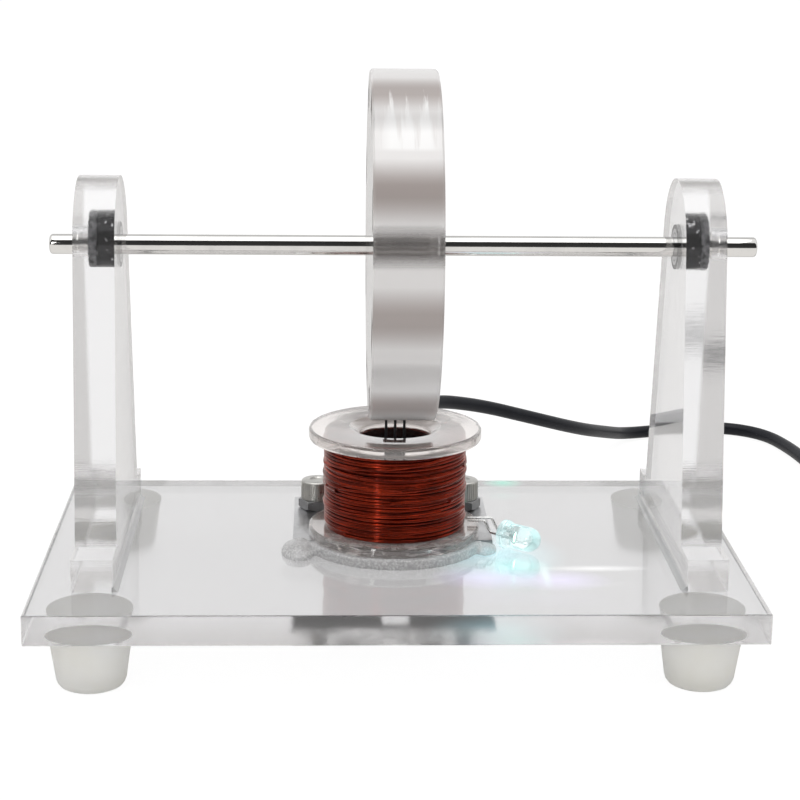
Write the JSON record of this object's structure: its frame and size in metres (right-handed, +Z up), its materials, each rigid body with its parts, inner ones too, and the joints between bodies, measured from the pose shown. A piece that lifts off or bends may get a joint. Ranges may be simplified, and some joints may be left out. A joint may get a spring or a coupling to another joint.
{
  "type": "demonstration electric motor",
  "caption": "Clear acrylic demonstration motor: a disc with magnets in its rim turns on a steel shaft in ball bearings above one switched coil on a base with soft feet.",
  "frame": {"origin": "on the surface under the feet, in the middle of the motor's box without its cable", "axes": "+X along the shaft to its longer free end, +Y towards the cable side, +Z up"},
  "size_m": [0.2446, 0.1903, 0.1135],
  "materials": {
    "clear_acrylic": "polished",
    "silicone": "satin",
    "polished_steel": "polished",
    "bearing_steel": "ground",
    "bearing_glue": "rough",
    "magnet_nickel": "plated",
    "bobbin_plastic": "moulded",
    "enamelled_wire": "gloss",
    "clear_glue": "gloss",
    "black_epoxy": "moulded",
    "wire_insulation": "satin",
    "satin_aluminium": "satin",
    "screw_steel": "zinc plated",
    "dark_steel": "blackened",
    "tinned_copper": "tinned",
    "board_laminate": "lacquered",
    "foam": "matte",
    "component_enamel": "lacquered",
    "component_black": "moulded",
    "led_epoxy": "polished",
    "nylon": "moulded",
    "cable_jacket": "satin",
    "tie_plastic": "satin",
    "plug_rubber": "matte",
    "plug_nickel": "plated"
  },
  "bodies": {
    "stand": {"base_plate": "clear_acrylic", "left_upright": "clear_acrylic", "right_upright": "clear_acrylic", "foot_front_left": "silicone", "foot_front_right": "silicone", "foot_back_left": "silicone", "foot_back_right": "silicone", "left_bearing_outer_ring": "bearing_steel", "left_bearing_shields": "bearing_steel", "right_bearing_outer_ring": "bearing_steel", "right_bearing_shields": "bearing_steel", "left_bearing_glue": "bearing_glue", "right_bearing_glue": "bearing_glue", "coil_bobbin": "bobbin_plastic", "coil_winding": "enamelled_wire", "coil_leads": "enamelled_wire", "coil_glue": "clear_glue", "hall_glue": "clear_glue", "hall_sensor": "black_epoxy", "hall_legs": "black_epoxy", "transistor_case": "black_epoxy", "hall_wires": "wire_insulation", "supply_wires": "wire_insulation", "coil_bracket": "satin_aluminium", "cap_screws": "screw_steel", "base_nuts": "screw_steel", "transistor_screw": "screw_steel", "transistor_nut": "screw_steel", "thin_nuts": "dark_steel", "transistor_tab": "tinned_copper", "transistor_leads": "tinned_copper", "led_legs": "tinned_copper", "driver_board": "board_laminate", "board_pads": "foam", "board_resistors": "component_enamel", "board_diode": "component_black", "board_capacitor": "component_black", "led_lens": "led_epoxy", "cable_clip": "nylon", "cable": "cable_jacket", "cable_coil": "cable_jacket", "cable_tail": "cable_jacket", "coil_tie": "tie_plastic", "plug_grip": "plug_rubber", "plug_barrel": "plug_nickel"},
    "rotor": {"shaft": "polished_steel", "rotor_disc": "clear_acrylic", "rotor_magnets": "magnet_nickel", "left_bearing_inner_ring": "bearing_steel", "right_bearing_inner_ring": "bearing_steel"},
    "left_ball_set": {"left_bearing_balls": "bearing_steel", "left_bearing_cage": "bearing_steel"},
    "right_ball_set": {"right_bearing_balls": "bearing_steel", "right_bearing_cage": "bearing_steel"}
  },
  "joints": [
    {"name": "rotor_spin", "type": "hinge", "parent": "stand", "child": "rotor", "pos_m": [0, 0, 0.0788], "axis": [1, 0, 0], "continuous": true},
    {"name": "left_balls_spin", "type": "hinge", "parent": "stand", "child": "left_ball_set", "pos_m": [-0.0573, 0, 0.0788], "axis": [1, 0, 0], "continuous": true},
    {"name": "right_balls_spin", "type": "hinge", "parent": "stand", "child": "right_ball_set", "pos_m": [0.0567, 0, 0.0788], "axis": [1, 0, 0], "continuous": true}
  ],
  "couplings": [
    {"joint": "left_balls_spin", "follows": "rotor_spin", "ratio": 0.39231},
    {"joint": "right_balls_spin", "follows": "rotor_spin", "ratio": 0.39231}
  ]
}
